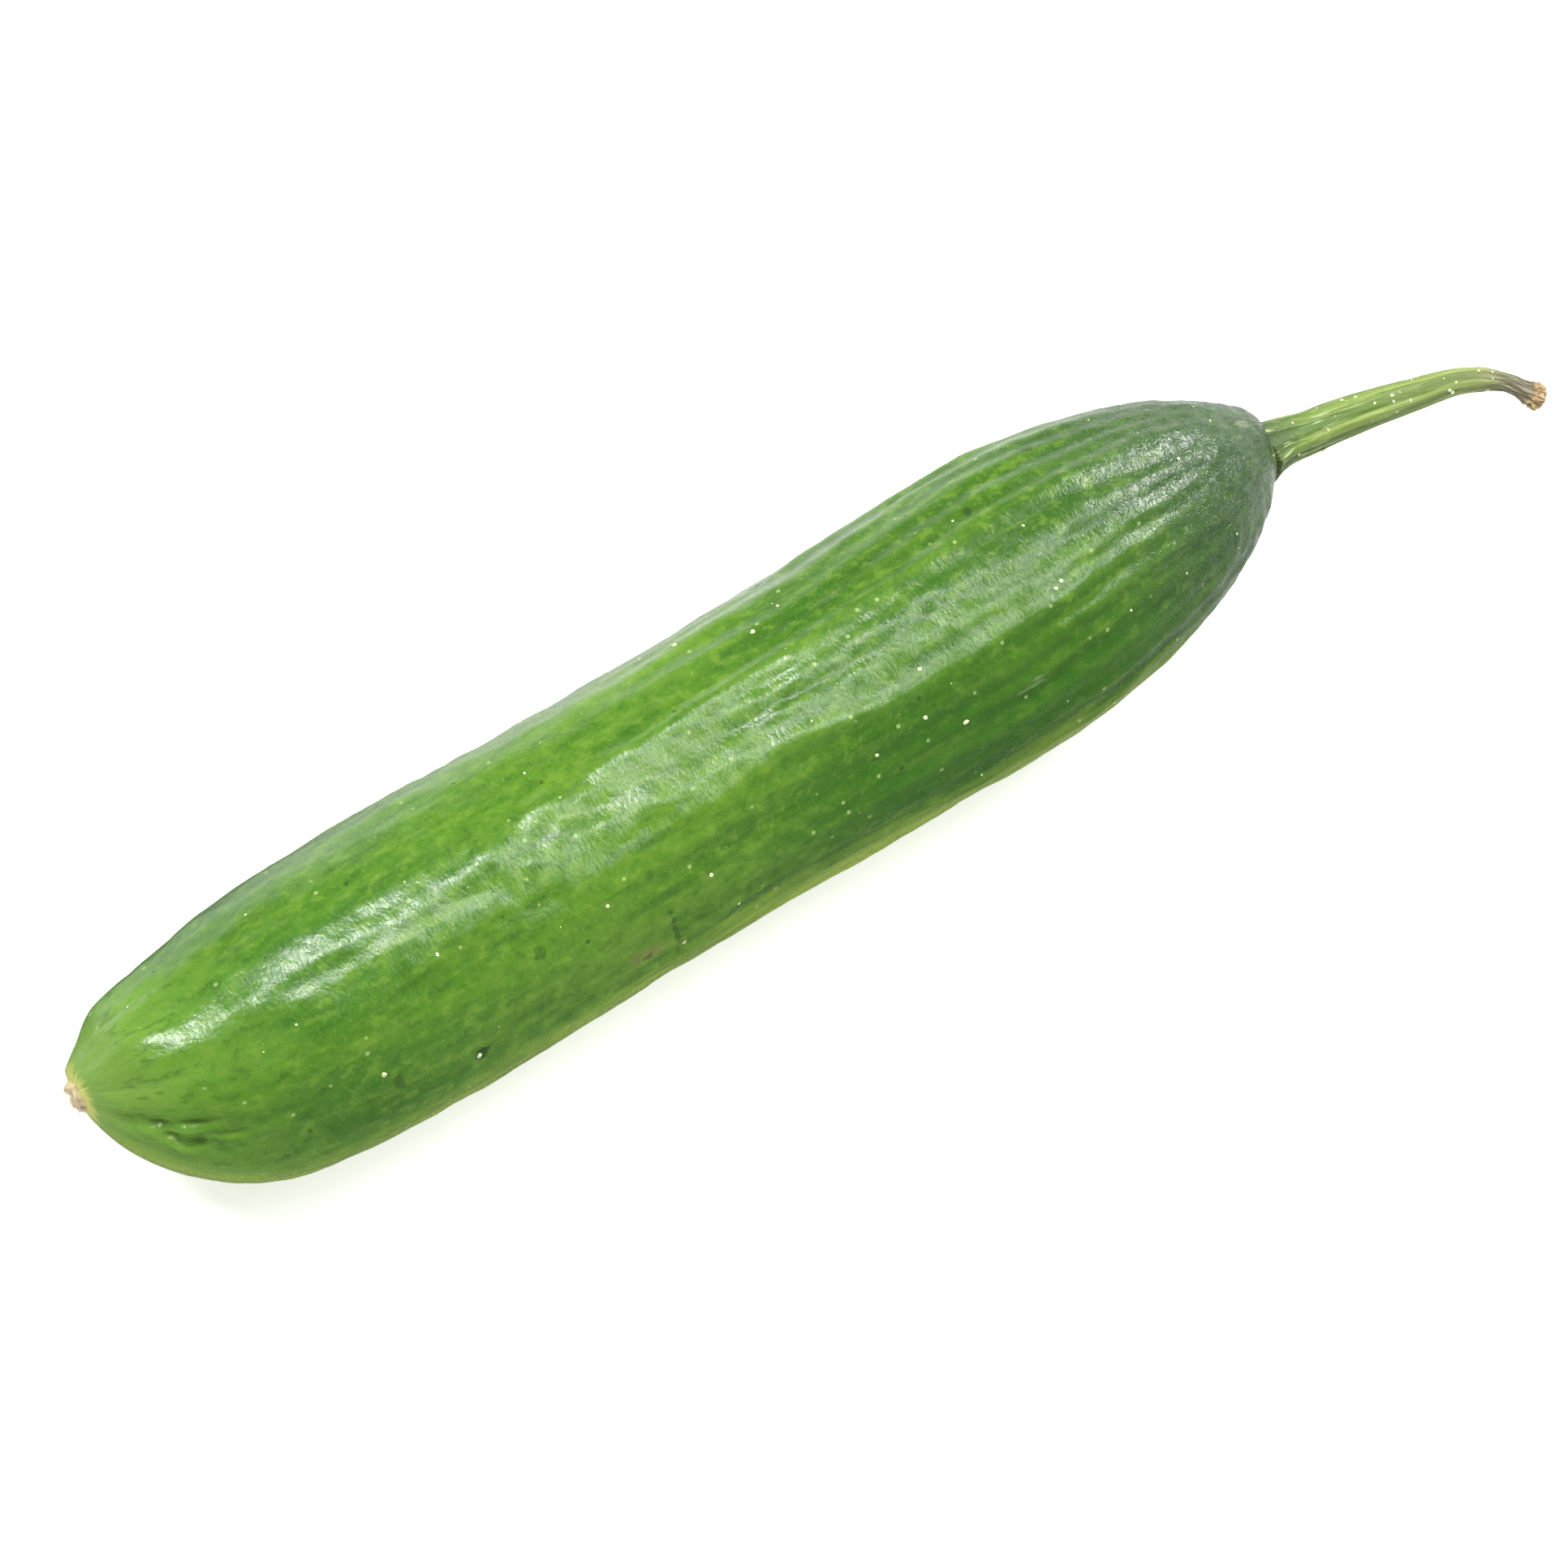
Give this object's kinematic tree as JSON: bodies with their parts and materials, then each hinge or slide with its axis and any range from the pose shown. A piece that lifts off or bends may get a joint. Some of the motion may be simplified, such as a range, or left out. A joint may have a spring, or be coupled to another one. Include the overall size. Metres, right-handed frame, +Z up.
{
  "type": "cucumber",
  "caption": "Short smooth-skinned green cucumber with soft ribs, a paler blossom end with its dry scar, and a curling cut stem, lying on its side.",
  "frame": {"origin": "on the resting surface, below the middle of the whole object's box", "axes": "+X along the fruit from the blossom end to the stem, +Z up, +Y to the far side with the stem pointing right"},
  "size_m": [0.2052, 0.036, 0.0362],
  "materials": {
    "skin": "waxy satin green skin",
    "dry_scar": "dry, corky and matt",
    "stem": "ridged green stalk, dull, browner at the cut"
  },
  "bodies": {
    "root": {"fruit": "skin", "blossom_scar": "dry_scar", "stem": "stem"}
  },
  "joints": []
}
